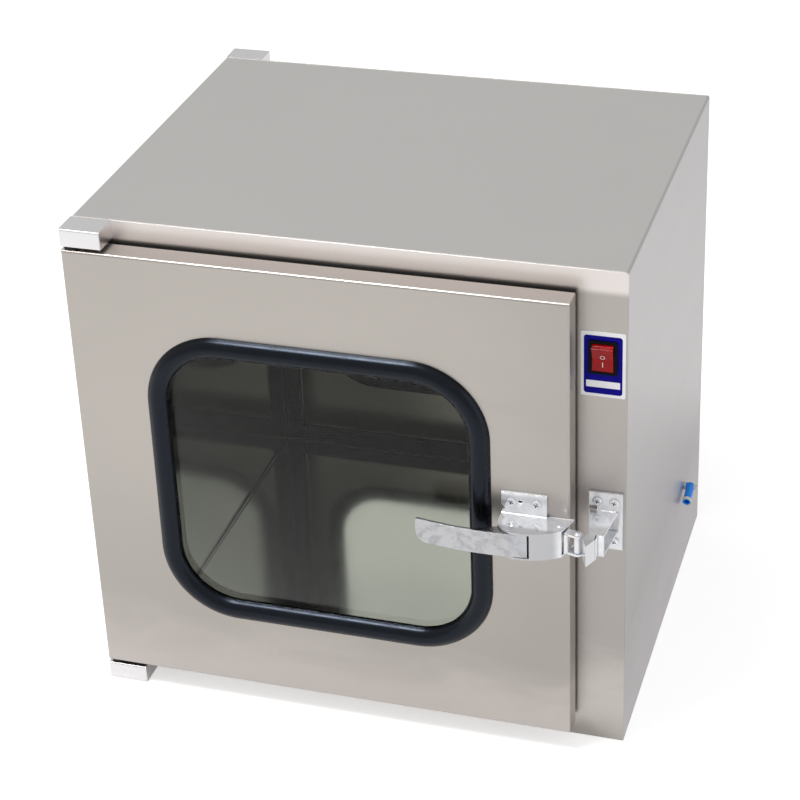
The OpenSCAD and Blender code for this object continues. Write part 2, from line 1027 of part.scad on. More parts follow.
// Plan of the lever's bowed face, t thick, between two x positions.
module lever_bow(x0, x1, t) {
    centre_y = lever_bow_r - lever_face_out;
    intersection() {
        difference() {
            translate([lever_face_x, centre_y])
                circle(lever_bow_r, $fn = 360);
            translate([lever_face_x, centre_y])
                circle(lever_bow_r - t, $fn = 360);
        }
        translate([x0, -2 * lever_face_out])
            square([x1 - x0, 2 * lever_face_out]);
    }
}

// Plan of the flanges that join the lever's face to its pivot and the link's pin.
module lever_flange_plan() {
    lever_bow(lever_flange_x0, lever_end_x, 2 * lever_t);
    polygon([[lever_flange_x0, -lever_face_out + lever_t],
             [lever_pivot.x - lever_boss_r, lever_pivot.y],
             [lever_pivot.x + lever_boss_r, lever_pivot.y],
             [lever_end_x, -lever_face_out + 2 * lever_t],
             [lever_end_x - lever_t, -lever_face_out + lever_t]]);
    translate(lever_pivot)
        circle(lever_boss_r);
    translate(lever_pivot + [-lug_r, 0])
        square([2 * lug_r, crank]);
    translate(link_pin_at)
        circle(lug_r);
}

// Side view of the lever's face with its rounded tip.
module lever_side() {
    tip_x = wall_x0 - lever_reach;
    h = lever_h / 2;
    top_r = 3;
    translate([tip_x + lever_tip_r, -h])
        square([lever_end_x - tip_x - lever_tip_r, lever_h]);
    translate([tip_x, -h + lever_tip_r])
        square([lever_tip_r + eps, lever_h - lever_tip_r - top_r]);
    translate([tip_x + top_r, h - top_r - eps])
        square([lever_tip_r, top_r + eps]);
    translate([tip_x + lever_tip_r, -h + lever_tip_r])
        circle(lever_tip_r);
    translate([tip_x + top_r, h - top_r])
        circle(top_r);
}

module lever(rear) {
    tip_x = wall_x0 - lever_reach;
    color(zinc)
        at_end(rear)
            latch_frame()
                difference() {
                    union() {
                        intersection() {
                            translate([0, 0, -lever_h / 2])
                                linear_extrude(lever_h)
                                    lever_bow(tip_x - over, lever_end_x, lever_t);
                            standing(-2 * lever_face_out, 2 * lever_face_out)
                                lever_side();
                        }
                        for (s = [-1, 1])
                            translate([0, 0, s * (lever_h - lever_flange_t) / 2
                                       - lever_flange_t / 2])
                                linear_extrude(lever_flange_t)
                                    lever_flange_plan();
                    }
                    translate([lever_pivot.x, lever_pivot.y, 0])
                        cylinder(r = pivot_r + run_gap, h = 2 * lever_h, center = true);
                    translate([link_pin_at.x, link_pin_at.y, 0])
                        cylinder(r = link_pin_r + fix_gap, h = 2 * lever_h, center = true);
                }
}

module front_lever() {
    lever(false);
}

module rear_lever() {
    lever(true);
}

// The bar that turns the tongue with the lever.
module link(rear) {
    reach = tongue_pin_at - link_pin_at;
    color(zinc)
        at_end(rear)
            latch_frame()
                translate([link_pin_at.x, link_pin_at.y, -link_t / 2])
                    rotate([0, 0, atan2(reach.y, reach.x)])
                        difference() {
                            linear_extrude(link_t) {
                                translate([0, -link_r])
                                    square([norm(reach), 2 * link_r]);
                                for (x = [0, norm(reach)])
                                    translate([x, 0])
                                        circle(link_r);
                            }
                            translate([0, 0, -over])
                                cylinder(r = link_pin_r + run_gap, h = link_t + 2 * over);
                            translate([norm(reach), 0, -over])
                                cylinder(r = link_pin_r + 2 * run_gap, h = link_t + 2 * over);
                        }
}

module front_link() {
    link(false);
}

module rear_link() {
    link(true);
}

module link_pin(rear) {
    color(zinc)
        at_end(rear)
            latch_frame()
                translate([link_pin_at.x, link_pin_at.y, 0])
                    cylinder(r = link_pin_r, h = lever_h, center = true);
}

module front_link_pin() {
    link_pin(false);
}

module rear_link_pin() {
    link_pin(true);
}

// Plan of a tongue plate: a hull of its two lugs with a third lug for the link.
module tongue_plan() {
    arm = roller_axis - tongue_pivot;
    turn = atan2(arm.y, arm.x);
    spread = asin((tongue_tip_r - lug_r) / norm(arm));
    near = lug_r * [sin(-turn - spread), -cos(turn + spread)];
    translate(tongue_pivot)
        circle(lug_r - 0.4);
    translate(roller_axis)
        circle(tongue_tip_r);
    translate(tongue_pivot)
        rotate(turn)
            polygon([[0, -lug_r + 0.4], [norm(arm), -tongue_tip_r],
                     [norm(arm), tongue_tip_r], [0, lug_r - 0.4]]);
    translate(tongue_pivot + [-link_r, 0])
        square([2 * link_r, crank]);
    translate(tongue_pin_at)
        circle(link_r);
}

module tongue(rear) {
    color(zinc)
        at_end(rear)
            latch_frame()
                difference() {
                    union() {
                        for (s = [-1, 1])
                            translate([0, 0, s * (tongue_h - tongue_t) / 2 - tongue_t / 2])
                                linear_extrude(tongue_t)
                                    tongue_plan();
                        translate([spacer_axis.x, spacer_axis.y, 0])
                            cylinder(r = spacer_r, h = tongue_h - tongue_t, center = true);
                        translate([tongue_pin_at.x, tongue_pin_at.y, 0])
                            cylinder(r = link_pin_r, h = tongue_h - tongue_t, center = true);
                    }
                    translate([tongue_pivot.x, tongue_pivot.y, 0])
                        cylinder(r = pivot_r + run_gap, h = 2 * tongue_h, center = true);
                    translate([roller_axis.x, roller_axis.y, 0])
                        cylinder(r = roller_pin_r + fix_gap, h = 2 * tongue_h, center = true);
                }
}

module front_tongue() {
    tongue(false);
}

module rear_tongue() {
    tongue(true);
}

module roller_pin(rear) {
    color(zinc)
        at_end(rear)
            latch_frame()
                translate([roller_axis.x, roller_axis.y, 0])
                    riveted_pin(roller_pin_r, tongue_h, 2.1 * roller_pin_r, 1.6);
}

module front_roller_pin() {
    roller_pin(false);
}

module rear_roller_pin() {
    roller_pin(true);
}

module roller(rear) {
    color("gainsboro")
        at_end(rear)
            latch_frame()
                translate([roller_axis.x, roller_axis.y, 0])
                    difference() {
                        cylinder(r = roller_r, h = tongue_h - 2 * tongue_t - 2 * slide_gap,
                                 center = true);
                        cylinder(r = roller_pin_r + run_gap, h = tongue_h, center = true);
                    }
}

module front_roller() {
    roller(false);
}

module rear_roller() {
    roller(true);
}

// ---------- strike ----------

// Plan of the strike's channel from its base plate's left edge at the cabinet's face.
module strike_channel_plan() {
    polygon([[strike_back_x, 0], [strike_mouth, -strike_out],
             [strike_front_x1, -strike_out], [strike_back_x1, 0]]);
}

// Plan of the nose that the roller passes: a wedge in front of the channel.
module strike_nose_plan() {
    polygon([[strike_mouth + 0.4, -strike_out + strike_t], [strike_mouth - 3.6, -strike_out - 7],
             [strike_mouth + 2.2, -strike_out - nose_out],
             [strike_mouth + 8.6, -strike_out - 6], [strike_mouth + 9, -strike_out + strike_t]]);
}

module strike(rear) {
    color(zinc)
        at_end(rear)
            translate([strike_x0, face_y, latch_z])
                difference() {
                    union() {
                        translate([0, -strike_plate_t, -strike_plate_h / 2])
                            cube([strike_plate_w, strike_plate_t, strike_plate_h]);
                        web_bends(strike_notch_w, strike_web_x1, strike_plate_t, strike_h);
                        translate([0, 0, -strike_h / 2])
                            linear_extrude(strike_h) {
                                strike_channel_plan();
                                strike_nose_plan();
                            }
                    }
                    for (m = [0, 1])
                        mirror([0, 0, m])
                            translate([-over, -strike_plate_t - over, strike_h / 2])
                                cube([strike_notch_w + over, strike_plate_t + 2 * over,
                                      strike_notch_h]);
                    translate([strike_slit_x, -strike_out - strike_slit_d, -strike_h])
                        cube([strike_slit_w, strike_slit_d, 2 * strike_h]);
                    translate([-over, -strike_out + strike_t, -strike_h / 2 + strike_t])
                        cube([strike_plate_w + 2 * over, strike_out - strike_t - strike_plate_t,
                              strike_h - 2 * strike_t]);
                    translate([strike_plate_w / 2, 0, 0])
                        four(strike_screw_x, strike_screw_z)
                            y_hole(screw_r + fix_gap, 4 * strike_plate_t);
                }
}

module front_strike() {
    strike(false);
}

module rear_strike() {
    strike(true);
}

module strike_screws() {
    color(zinc)
        for (rear = [false, true])
            at_end(rear)
                translate([strike_mid_x, face_y - strike_plate_t, latch_z])
                    four(strike_screw_x, strike_screw_z)
                        cross_screw(strike_plate_t + sheet + backing_t + screw_end);
}

// Tapped plates behind the face frames.
module strike_backing_plates() {
    color(zinc)
        for (rear = [false, true])
            at_end(rear)
                difference() {
                    translate([strike_x0, face_y + sheet, latch_z - strike_plate_h / 2])
                        cube([strike_plate_w - 1, backing_t, strike_plate_h]);
                    strike_holes(screw_r + fix_gap);
                }
}

// ---------- switch ----------

module switch_frame() {
    translate([strip_mid_x, face_y, bezel_z])
        children();
}

module switch_label_plate() {
    color("white")
        difference() {
            translate([strip_mid_x, 0, label_z])
                standing(face_y - label_t, label_t)
                    round_rect(label_w, label_h, 1.5);
            switch_frame()
                cube([switch_body_w + 2 * cutout_gap, 4 * label_t,
                      switch_body_h + 2 * cutout_gap], center = true);
        }
}

module switch_housing() {
    front_y = -label_t - bezel_t;
    color("#151517")
        switch_frame()
            difference() {
                union() {
                    standing(front_y, bezel_t)
                        round_rect(bezel_w, bezel_h, 2);
                    translate([-switch_body_w / 2, -label_t - eps, -switch_body_h / 2])
                        cube([switch_body_w, switch_body_d, switch_body_h]);
                }
                translate([-pocket_w / 2, front_y - over, -pocket_h / 2])
                    cube([pocket_w, switch_body_d + over - switch_wall, pocket_h]);
                translate([0, rocker_pivot_in, 0])
                    rotate([0, 90, 0])
                        cylinder(r = trunnion_r + run_gap, h = pocket_w + 2 * trunnion_l + 0.4,
                                 center = true);
            }
}

// Side profile of the rocker: x runs into the panel, y runs up, and the pivot is the origin.
module rocker_profile() {
    intersection() {
        circle(rocker_r);
        union()
            for (s = [-1, 1])
                intersection() {
                    rotate(s * rocker_tilt)
                        translate([-rocker_face, -2 * rocker_r])
                            square([rocker_face + rocker_back, 4 * rocker_r]);
                    translate([-2 * rocker_r, s > 0 ? 0 : -2 * rocker_r])
                        square([4 * rocker_r, 2 * rocker_r + eps]);
                }
    }
}

// At rest the rocker's lower half is pressed in.
module switch_rocker() {
    color("#c8141c")
        switch_frame()
            translate([0, rocker_pivot_in, 0])
                rotate([rocker_tilt, 0, 0]) {
                    rotate([0, 90, 0])
                        cylinder(r = trunnion_r, h = pocket_w + 2 * trunnion_l, center = true);
                    translate([-rocker_w / 2, 0, 0])
                        multmatrix([[0, 0, 1, 0], [1, 0, 0, 0], [0, 1, 0, 0], [0, 0, 0, 1]])
                            linear_extrude(rocker_w)
                                rocker_profile();
                }
}

module switch_terminals() {
    color("silver")
        switch_frame()
            for (i = [-1:1])
                translate([-tab_w / 2, switch_body_d - label_t, i * tab_pitch - tab_t / 2])
                    cube([tab_w, tab_l, tab_t]);
}

// ---------- lamp ----------

// Draws its children at the lamp's two ends: Z runs out along the lamp and -X is up.
module lamp_ends() {
    for (s = [0, 1])
        translate([chamber_mid_x, 0, lamp_z])
            mirror([s, 0, 0])
                translate([lamp_l / 2, 0, 0])
                    rotate([0, 90, 0])
                        children();
}

module uv_lamp_tube() {
    color("white", 0.7)
        translate([chamber_mid_x, 0, lamp_z])
            rotate([0, 90, 0])
                cylinder(r = lamp_r, h = lamp_l, center = true);
}

module uv_lamp_caps() {
    color("silver")
        lamp_ends() {
            cylinder(r = lamp_r + 0.2, h = lamp_cap_l);
            for (s = [-1, 1])
                translate([0, s * lamp_pin_pitch / 2, lamp_cap_l])
                    cylinder(r = lamp_pin_r, h = lamp_pin_l);
        }
}

// A round socket for the tube's pins on a stem that hangs from the reflector.
module lamp_holders() {
    rise = lamp_drop - reflector_rise;
    color("white")
        lamp_ends()
            difference() {
                translate([0, 0, lamp_cap_l + fix_gap])
                    linear_extrude(holder_l) {
                        circle(holder_w / 2);
                        translate([-rise, -holder_side])
                            square([rise, 2 * holder_side]);
                    }
                for (s = [-1, 1])
                    translate([0, s * lamp_pin_pitch / 2, lamp_cap_l])
                        cylinder(r = lamp_pin_r + run_gap, h = lamp_pin_l + fix_gap);
            }
}

module lamp_reflector() {
    run = lamp_l + 2 * (lamp_cap_l + reflector_end);
    color("whitesmoke")
        translate([chamber_mid_x - run / 2, 0, ceiling_z])
            multmatrix([[0, 0, 1, 0], [1, 0, 0, 0], [0, 1, 0, 0], [0, 0, 0, 1]])
                linear_extrude(run)
                    difference() {
                        polygon([[-reflector_w / 2, 0], [reflector_w / 2, 0],
                                 [reflector_w / 3, -reflector_rise],
                                 [-reflector_w / 3, -reflector_rise]]);
                        polygon([[-reflector_w / 2 + 2 * reflector_t, over],
                                 [-reflector_w / 2 + 2 * reflector_t, 0],
                                 [-reflector_w / 3 + reflector_t, -reflector_rise + reflector_t],
                                 [reflector_w / 3 - reflector_t, -reflector_rise + reflector_t],
                                 [reflector_w / 2 - 2 * reflector_t, 0],
                                 [reflector_w / 2 - 2 * reflector_t, over]]);
                    }
}

module lamp_ballast() {
    color("lightgray")
        translate([chamber_mid_x - ballast_l / 2, gear_y - ballast_w / 2, liner_top_z])
            cube([ballast_l, ballast_w, ballast_h]);
}

// ---------- side port and cable gland ----------

module port_frame() {
    translate([right_x, port_y, port_z])
        children();
}

// Draws its children along the port's leg, from the bolt's axis.
module port_leg() {
    translate([port_stand, 0, 0])
        rotate([90 + port_angle, 0, 0])
            children();
}

// A hollow bolt through the casing that feeds the elbow's leg.
module side_port_bolt() {
    tail = sheet + 8;
    color("silver")
        port_frame()
            difference() {
                rotate([0, 90, 0]) {
                    translate([0, 0, -tail])
                        cylinder(r = port_bolt_r, h = tail + port_stand + port_eye_r + port_bolt_out);
                    cylinder(r = port_hex_r, h = port_hex_t, $fn = 6);
                }
                translate([-tail - over, 0, 0])
                    rotate([0, 90, 0])
                        cylinder(r = port_bolt_bore_r,
                                 h = tail + over + port_stand + 2 * port_cross_r);
                port_leg()
                    cylinder(r = port_cross_r, h = 2 * port_bolt_r);
            }
}

module side_port_elbow() {
    color("#1466d8")
        port_frame()
            difference() {
                union() {
                    port_leg()
                        sphere(port_eye_r);
                    port_leg()
                        cylinder(r = port_r, h = port_l);
                    translate([port_hex_t, 0, 0])
                        rotate([0, 90, 0])
                            cylinder(r = port_r - 0.2, h = port_stand - port_hex_t);
                }
                rotate([0, 90, 0])
                    cylinder(r = port_bolt_r + fix_gap, h = 4 * port_stand);
                port_leg()
                    cylinder(r = port_bore_r, h = 2 * port_l);
            }
}

module side_port_collar() {
    color("whitesmoke")
        port_frame()
            port_leg()
                translate([0, 0, port_l - port_collar_l])
                    difference() {
                        cylinder(r = port_collar_r, h = port_collar_l);
                        translate([0, 0, -over])
                            cylinder(r = port_r + fix_gap, h = port_collar_l + 2 * over);
                    }
}

module gland_frame() {
    translate([gland_x, -face_y, gland_z])
        rotate([-90, 0, 0])
            children();
}

module cable_gland() {
    color("#202022")
        gland_frame()
            difference() {
                union() {
                    cylinder(r = gland_hex_r, h = gland_hex_t, $fn = 6);
                    cylinder(r = gland_cap_r, h = gland_hex_t + gland_cap_l - 3);
                    translate([0, 0, gland_hex_t + gland_cap_l - 3])
                        cylinder(r1 = gland_cap_r, r2 = gland_cap_r - 2.4, h = 3);
                    translate([0, 0, -sheet - gland_nut_t - 3])
                        cylinder(r = gland_r, h = sheet + gland_nut_t + 3 + eps);
                }
                cylinder(r = gland_bore_r, h = 8 * gland_hex_t, center = true);
            }
}

module cable_gland_nut() {
    color("#202022")
        gland_frame()
            translate([0, 0, -sheet - gland_nut_t])
                difference() {
                    cylinder(r = gland_hex_r, h = gland_nut_t, $fn = 6);
                    translate([0, 0, -over])
                        cylinder(r = gland_r + fix_gap, h = gland_nut_t + 2 * over);
                }
}

outer_casing();
front_frame();
rear_frame();
base_panel();
chamber_liner();
front_top_hinge_bracket();
front_bottom_hinge_bracket();
rear_top_hinge_bracket();
rear_bottom_hinge_bracket();
hinge_pins();
front_door_skin();
rear_door_skin();
front_door_inner_frame();
rear_door_inner_frame();
front_door_stiffeners();
rear_door_stiffeners();
front_hinge_bushes();
rear_hinge_bushes();
front_door_gasket();
rear_door_gasket();
front_window_seal();
rear_window_seal();
front_window_glass();
rear_window_glass();
front_latch_housing();
rear_latch_housing();
front_latch_screws();
rear_latch_screws();
front_latch_pins();
rear_latch_pins();
front_lever();
rear_lever();
front_link();
rear_link();
front_link_pin();
rear_link_pin();
front_tongue();
rear_tongue();
front_roller_pin();
rear_roller_pin();
front_roller();
rear_roller();
front_strike();
rear_strike();
strike_screws();
strike_backing_plates();
switch_label_plate();
switch_housing();
switch_rocker();
switch_terminals();
uv_lamp_tube();
uv_lamp_caps();
lamp_holders();
lamp_reflector();
lamp_ballast();
side_port_bolt();
side_port_elbow();
side_port_collar();
cable_gland();
cable_gland_nut();
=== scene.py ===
"""Looks of the cleanroom pass box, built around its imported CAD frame."""

import math

import bmesh
import bpy
from mathutils import Matrix, Vector


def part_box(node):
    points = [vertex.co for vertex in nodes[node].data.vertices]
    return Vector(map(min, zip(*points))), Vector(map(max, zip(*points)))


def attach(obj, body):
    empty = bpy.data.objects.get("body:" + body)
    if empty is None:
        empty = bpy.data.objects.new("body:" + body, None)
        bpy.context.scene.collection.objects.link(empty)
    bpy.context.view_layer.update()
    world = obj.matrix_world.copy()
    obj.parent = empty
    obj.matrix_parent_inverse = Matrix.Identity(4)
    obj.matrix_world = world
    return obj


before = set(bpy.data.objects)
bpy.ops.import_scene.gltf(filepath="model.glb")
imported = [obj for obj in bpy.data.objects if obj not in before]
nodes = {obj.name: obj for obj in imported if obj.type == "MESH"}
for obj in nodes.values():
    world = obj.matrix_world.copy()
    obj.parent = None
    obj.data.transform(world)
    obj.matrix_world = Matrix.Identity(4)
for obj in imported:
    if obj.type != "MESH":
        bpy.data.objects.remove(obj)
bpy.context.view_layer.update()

MM = 0.001


# ---------- shader helpers ----------

class Tree:
    """A material's node tree with short calls for the nodes that the finishes use."""

    def __init__(self, name):
        self.mat = bpy.data.materials.new(name)
        self.mat.use_nodes = True
        self.nt = self.mat.node_tree
        self.bsdf = self.nt.nodes["Principled BSDF"]
        self.coord = self.node("ShaderNodeTexCoord").outputs["Object"]

    def node(self, kind):
        return self.nt.nodes.new(kind)

    def link(self, a, b):
        self.nt.links.new(a, b)

    def feed(self, value, socket):
        """Links an output to the socket, or sets the socket to a number or an RGB colour."""
        if hasattr(value, "default_value"):
            self.link(value, socket)
        elif isinstance(value, tuple):
            socket.default_value = (*value, 1.0)
        else:
            socket.default_value = value

    def scaled(self, scale):
        m = self.node("ShaderNodeMapping")
        m.inputs["Scale"].default_value = scale
        self.link(self.coord, m.inputs["Vector"])
        return m.outputs["Vector"]

    def noise(self, scale, stretch=(1, 1, 1), detail=3.0, rough=0.55, distort=0.0):
        n = self.node("ShaderNodeTexNoise")
        n.inputs["Scale"].default_value = scale
        n.inputs["Detail"].default_value = detail
        n.inputs["Roughness"].default_value = rough
        n.inputs["Distortion"].default_value = distort
        self.link(self.scaled(stretch), n.inputs["Vector"])
        return n.outputs["Fac"]

    def band(self, value, lo, hi, out_lo, out_hi):
        """A soft step from out_lo to out_hi while value goes from lo to hi."""
        r = self.node("ShaderNodeMapRange")
        r.interpolation_type = "SMOOTHSTEP"
        for key, v in zip(("From Min", "From Max", "To Min", "To Max"), (lo, hi, out_lo, out_hi)):
            r.inputs[key].default_value = v
        self.link(value, r.inputs["Value"])
        return r.outputs["Result"]

    def mix(self, factor, a, b):
        m = self.node("ShaderNodeMix")
        m.data_type = "RGBA"
        self.link(factor, m.inputs["Factor"])
        for side, value in (("A", a), ("B", b)):
            self.feed(value, [i for i in m.inputs if i.name == side and i.type == "RGBA"][0])
        return [o for o in m.outputs if o.type == "RGBA"][0]

    def math(self, op, a, b):
        m = self.node("ShaderNodeMath")
        m.operation = op
        for socket, value in zip(m.inputs, (a, b)):
            self.feed(value, socket)
        return m.outputs[0]

    def set(self, **values):
        """Feeds the main shader's sockets, each named with _ in place of a space."""
        for key, value in values.items():
            self.feed(value, self.bsdf.inputs[key.replace("_", " ")])

    def bump(self, height, strength, distance, edge=0.0):
        """Relief from height, with sharp edges shaded as rounded by the radius edge."""
        b = self.node("ShaderNodeBump")
        b.inputs["Strength"].default_value = strength
        b.inputs["Distance"].default_value = distance
        self.link(height, b.inputs["Height"])
        if edge:
            soft = self.node("ShaderNodeBevel")
            soft.samples = 6
            soft.inputs["Radius"].default_value = edge
            self.link(soft.outputs["Normal"], b.inputs["Normal"])
        self.link(b.outputs["Normal"], self.bsdf.inputs["Normal"])

    def corner_shade(self, colour, deep, reach):
        """Painted shade in corners: the colour turns to deep where other faces are near."""
        ao = self.node("ShaderNodeAmbientOcclusion")
        ao.samples = 8
        ao.inputs["Distance"].default_value = reach
        return self.mix(self.band(ao.outputs["AO"], 0.25, 0.80, 1, 0), colour, deep)

    def axis(self, name):
        n = self.node("ShaderNodeSeparateXYZ")
        self.link(self.coord, n.inputs[0])
        return n.outputs[name]

    def from_middle(self):
        """Distance from the part's middle plane, in metres."""
        return self.math("ABSOLUTE", self.axis("Y"), 0.0)


SHARP_SHADE = 0.02     # a shade that turns over less than this keeps a straight edge
STRAY = 0.012          # how far the wiped marks push a soft shade's edge


def stainless(name, tone, warm, grain, rough, dark=0.95, painted_shades=(), edge=0.0008, relief=0.06):
    """2B sheet: fine grain along one axis, wide soft clouds, wiped marks and soft edges.

    Each painted shade is a band of painted light or shade, given as (axis, from, to, share,
    colour): between from and to along the axis, in metres, the sheet takes on that share of the
    colour. The clouds turn to dark x tone."""
    t = Tree(name)
    fine = t.noise(260, stretch=grain, detail=5.0, rough=0.7)
    clouds = t.noise(3.2, detail=2.0)
    wipes = t.noise(9, stretch=(1.0, 1.0, 2.6), detail=4.0, distort=0.6)
    base = tuple(c * tone for c in warm)
    deep = tuple(c * tone * dark for c in warm)
    colour = t.mix(t.band(clouds, 0.35, 0.68, 0, 1), base, deep)
    for axis, start, stop, share, shade in painted_shades:
        width = abs(stop - start)
        stray = min(STRAY, 0.25 * width) if width > SHARP_SHADE else 0.0
        along = t.math("ADD", t.axis(axis), t.band(wipes, 0.3, 0.7, -stray, stray))
        colour = t.mix(t.band(along, start, stop, 0, share), colour, shade)
    colour = t.mix(t.band(fine, 0.3, 0.75, 0, 0.14), colour, tuple(c * 0.72 for c in base))
    rough_map = t.math("ADD", t.band(wipes, 0.35, 0.7, rough - 0.008, rough + 0.012),
                       t.band(fine, 0.3, 0.7, -0.02, 0.03))
    t.set(Base_Color=colour, Metallic=1.0, Roughness=rough_map)
    t.bump(fine, relief, 0.00004, edge)
    return t.mat


# Painted shade on the zinc's outer faces, which lie this far from the part's middle plane.
FRONT_SHADE_FROM, FRONT_SHADE_TO = 0.2500, 0.2550     # distance from the part's middle plane
WEB_METAL = 0.65


def zinc(name, tone, rough=0.22, cloud=0.4, cast=(1.0, 1.0, 1.0), front_shade=1.0, metal=1.0,
         plate=0.0):
    """Bright zinc plate on pressed steel: cloudy patches, fine pits and a bluish cast.

    A share below 1 for the outer faces paints shade on them: the faces furthest from the part's
    middle plane keep that share of the colour. plate is the distance of the mounting plate's face
    from the part's middle plane: beyond it the metal has a clearer shine."""
    t = Tree(name)
    patch = t.noise(110, detail=6.0, rough=0.62, distort=0.8)
    speck = t.noise(620, detail=3.0)
    tint = t.noise(55, detail=2.0)
    base = tuple(b * tone * c for b, c in zip((0.80, 0.80, 0.82), cast))
    worn = (0.50 * tone, 0.50 * tone, 0.50 * tone)
    colour = t.mix(t.band(patch, 0.42, 0.68, 0, cloud), base, worn)
    colour = t.mix(t.band(tint, 0.52, 0.72, 0, 0.4), colour,
                   (0.66 * tone, 0.71 * tone, min(1.0, 0.86 * tone)))
    # Painted shade: the outer faces turn darker.
    if front_shade < 1.0:
        colour = t.mix(t.band(t.from_middle(), FRONT_SHADE_FROM, FRONT_SHADE_TO, 0, 1), colour,
                       tuple(front_shade * c for c in base))
    # Painted shade: the zinc turns near black in corners and where parts meet.
    colour = t.corner_shade(colour, (0.04, 0.04, 0.05), 0.0026)
    rough_map = t.band(patch, 0.3, 0.7, rough - 0.06, rough + 0.12)
    if plate:
        metal = t.band(t.from_middle(), plate, plate + 0.0006, metal, WEB_METAL)
    t.set(Base_Color=colour, Metallic=metal, Roughness=rough_map)
    t.bump(t.math("ADD", t.math("MULTIPLY", patch, 0.7), t.math("MULTIPLY", speck, 0.3)),
           0.10, 0.00012, 0.0003)
    return t.mat


def rubber(name, tone, rough, gloss, cloud=60):
    """Black rubber with a faint dusty bloom and a bluish sheen."""
    t = Tree(name)
    bloom = t.noise(cloud, detail=4.0)
    grain = t.noise(700, detail=2.0)
    colour = t.mix(t.band(bloom, 0.35, 0.7, 0, 1), (tone, tone, tone * 1.3),
                   (tone * 1.6, tone * 1.6, tone * 2.2))
    t.set(Base_Color=colour, Roughness=t.band(bloom, 0.3, 0.7, rough - 0.04, rough + 0.06),
          Specular_IOR_Level=gloss, Specular_Tint=(0.66, 0.78, 1.0))
    t.bump(grain, 0.02, 0.00003)
    return t.mat


def plastic(name, colour, rough=0.35, speck=0.06, coat=0.0, gloss=0.4):
    """Moulded plastic with a slight mottling."""
    t = Tree(name)
    cloud = t.noise(120, detail=3.0)
    mottled = tuple(c * (1 - speck * 2) for c in colour)
    t.set(Base_Color=t.mix(t.band(cloud, 0.3, 0.7, 0, 1), colour, mottled),
          Roughness=t.band(cloud, 0.3, 0.7, rough - 0.03, rough + 0.05), Coat_Weight=coat,
          Specular_IOR_Level=gloss)
    t.bump(t.noise(900, detail=2.0), 0.05, 0.00005)
    return t.mat


FACE_ON_FRESNEL = 0.05


def glass(name, tint, gloss, haze=0.03):
    """A pane that lets light straight through and mirrors a share of gloss when face on."""
    t = Tree(name)
    nt = t.nt
    out = nt.nodes["Material Output"]
    clear = t.node("ShaderNodeBsdfTransparent")
    clear.inputs["Color"].default_value = (*tint, 1.0)
    shine = t.node("ShaderNodeBsdfGlossy")
    shine.inputs["Roughness"].default_value = haze
    mix = t.node("ShaderNodeMixShader")
    fres = t.node("ShaderNodeFresnel")
    fres.inputs["IOR"].default_value = 1.5
    t.link(t.math("MULTIPLY", fres.outputs["Fac"], gloss / FACE_ON_FRESNEL), mix.inputs["Fac"])
    t.link(clear.outputs[0], mix.inputs[1])
    t.link(shine.outputs[0], mix.inputs[2])
    t.link(mix.outputs[0], out.inputs["Surface"])
    nt.nodes.remove(t.bsdf)
    return t.mat


# ---------- finishes of the CAD nodes ----------

WARM = (0.532, 0.495, 0.458)
GREY = (0.735, 0.722, 0.700)
# The next colour is painted light: the casing's right side, a darker pinkish copy of GREY.
SIDE_SHADE = (0.582, 0.556, 0.560)
# The next colour is painted shade: the near-black walls of the chamber above its bright floor.
CHAMBER_SHADE = (0.140, 0.138, 0.130)
FLOOR = (0.97, 0.98, 0.91)
ZINC_CAST = (0.975, 0.98, 0.98)

DOOR_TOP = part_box("front_door_skin")[1].z
CHAMBER_FLOOR = 0.032

